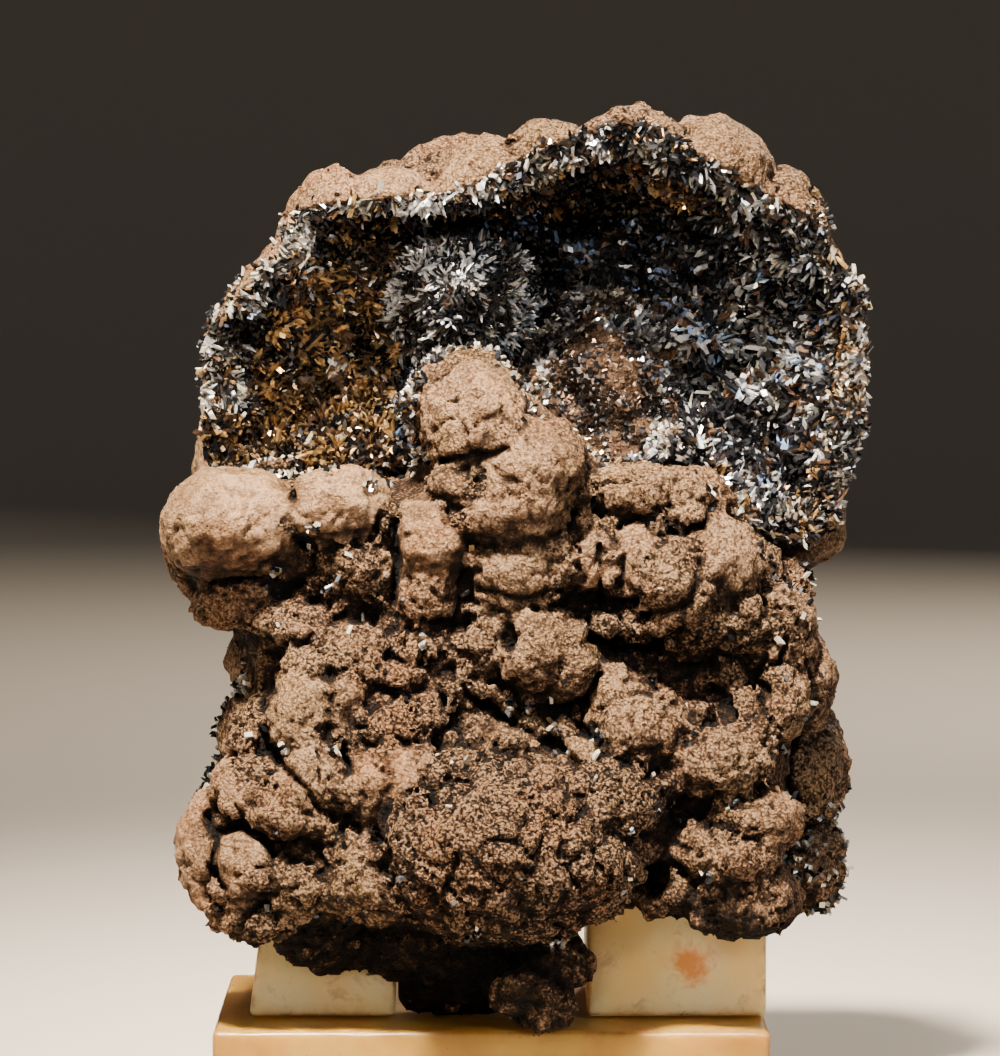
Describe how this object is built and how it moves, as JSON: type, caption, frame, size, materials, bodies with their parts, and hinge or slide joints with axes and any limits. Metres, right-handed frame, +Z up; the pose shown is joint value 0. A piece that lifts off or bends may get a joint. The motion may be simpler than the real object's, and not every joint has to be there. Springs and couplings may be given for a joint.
{
  "type": "pyrolusite with psilomelane mineral specimen",
  "caption": "Lumpy brown psilomelane with an open, crystal-lined hollow, standing on a clear block stand for display.",
  "frame": {"origin": "on the stand's underside, in the middle of its width and under the specimen", "axes": "+Z up, the front of the specimen and the hollow's mouth face -Y, +X is to the right as seen from the front"},
  "size_m": [0.0964, 0.0714, 0.14],
  "materials": {
    "psilomelane": "dull, earthy brown skin, granular in places",
    "pyrolusite": "dark metallic crystals with bright glints",
    "acrylic": "aged clear acrylic, cream, scuffed and stained"
  },
  "bodies": {
    "root": {"psilomelane": "psilomelane", "pyrolusite_crust": "pyrolusite", "stand_base": "acrylic", "stand_back_left": "acrylic", "stand_back_right": "acrylic"}
  },
  "joints": []
}
